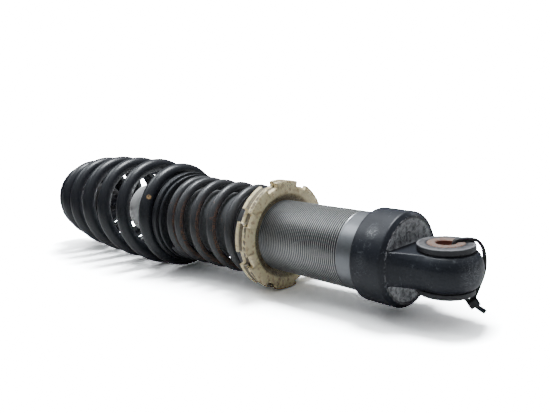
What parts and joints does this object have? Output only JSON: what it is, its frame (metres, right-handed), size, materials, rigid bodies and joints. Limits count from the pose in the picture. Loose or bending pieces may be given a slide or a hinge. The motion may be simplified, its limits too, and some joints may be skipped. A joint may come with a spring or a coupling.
{
  "type": "rear shock absorber",
  "caption": "Coil-over rear shock absorber: eye-mounted monotube damper with threaded body, castellated preload rings, tender spring, coupler and barrel-shaped main spring.",
  "frame": {"origin": "centre of the upper eye's bore", "axes": "+X down the shock's axis to the lower eye, +Z along the bores of both eyes"},
  "size_m": [0.4395, 0.0832, 0.0831],
  "materials": {
    "cap_paint": "worn satin",
    "sleeve_anodised": "satin grey anodised",
    "ring_zinc": "dull cream zinc, dirty",
    "spring_paint": "satin black, light rust",
    "coupler_black": "satin black",
    "tube_silver": "turned",
    "rod_chrome": "polished",
    "sleeve_steel": "dull, rusty",
    "steel": "plain",
    "alloy": "machined",
    "bush_black": "matt",
    "guide_white": "matt",
    "seal_rubber": "matt",
    "bump_foam": "matt",
    "bronze": "turned"
  },
  "bodies": {
    "damper_body": {"upper_eye_cap": "cap_paint", "upper_bush_top": "bush_black", "upper_bush_bottom": "bush_black", "gas_charge_screw": "steel", "damper_tube": "tube_silver", "threaded_sleeve": "sleeve_anodised", "seal_head": "alloy", "end_cap": "tube_silver", "cap_o_ring": "seal_rubber", "seal_head_o_ring": "seal_rubber", "rod_guide_bush": "bronze", "rod_seal": "seal_rubber", "rod_wiper": "seal_rubber", "seal_head_circlip": "steel", "top_out_bumper": "seal_rubber", "sleeve_circlip": "steel", "tender_spring": "spring_paint"},
    "upper_sleeve": {"upper_sleeve": "sleeve_steel"},
    "spring_seat": {"thrust_washer": "steel"},
    "preload_ring": {"preload_ring": "ring_zinc"},
    "lock_ring": {"lock_ring": "ring_zinc"},
    "coupler": {"spring_coupler": "coupler_black", "coupler_guide": "guide_white"},
    "floating_piston": {"floating_piston": "alloy", "floating_piston_o_ring": "seal_rubber"},
    "rod": {"piston_rod": "rod_chrome", "piston": "alloy", "piston_band": "guide_white", "compression_shims": "steel", "rebound_shims": "steel", "piston_nut": "steel", "rod_lock_nut": "steel", "bump_stop_washer": "steel", "bump_stop": "bump_foam", "lower_spring_seat": "cap_paint", "lower_eye": "cap_paint", "lower_bush_top": "bush_black", "lower_bush_bottom": "bush_black", "main_spring": "spring_paint"},
    "lower_sleeve": {"lower_sleeve": "sleeve_steel"}
  },
  "joints": [
    {"name": "stroke", "type": "slide", "parent": "damper_body", "child": "rod", "axis": [-1, 0, 0], "range_m": [0, 0.078], "stiffness_N_per_m": 18200, "springref_m": -0.012, "deforming": ["main_spring", "tender_spring", "bump_stop"]},
    {"name": "coupler_slide", "type": "slide", "parent": "damper_body", "child": "coupler", "axis": [-1, 0, 0], "range_m": [0, 0.04]},
    {"name": "gas_piston_slide", "type": "slide", "parent": "damper_body", "child": "floating_piston", "axis": [-1, 0, 0], "range_m": [0, 0.009]},
    {"name": "preload", "type": "slide", "parent": "damper_body", "child": "spring_seat", "axis": [-1, 0, 0], "range_m": [0, 0.009]},
    {"name": "preload_ring_turn", "type": "hinge", "parent": "spring_seat", "child": "preload_ring", "pos_m": [0.12, 0, 0], "axis": [-1, 0, 0], "range_deg": [0, 2165]},
    {"name": "lock_ring_turn", "type": "hinge", "parent": "preload_ring", "child": "lock_ring", "pos_m": [0.11485, 0, 0], "axis": [-1, 0, 0], "range_deg": [0, 45]},
    {"name": "upper_sleeve_turn", "type": "hinge", "parent": "damper_body", "child": "upper_sleeve", "pos_m": [0, 0, 0], "axis": [0, 0, 1], "continuous": true},
    {"name": "lower_sleeve_turn", "type": "hinge", "parent": "rod", "child": "lower_sleeve", "pos_m": [0.405, 0, 0], "axis": [0, 0, 1], "continuous": true}
  ],
  "couplings": [
    {"joint": "coupler_slide", "follows": "stroke", "ratio": 0.5},
    {"joint": "gas_piston_slide", "follows": "stroke", "ratio": 0.1111},
    {"joint": "preload_ring_turn", "follows": "preload", "rad_per_m": 4188.8}
  ]
}
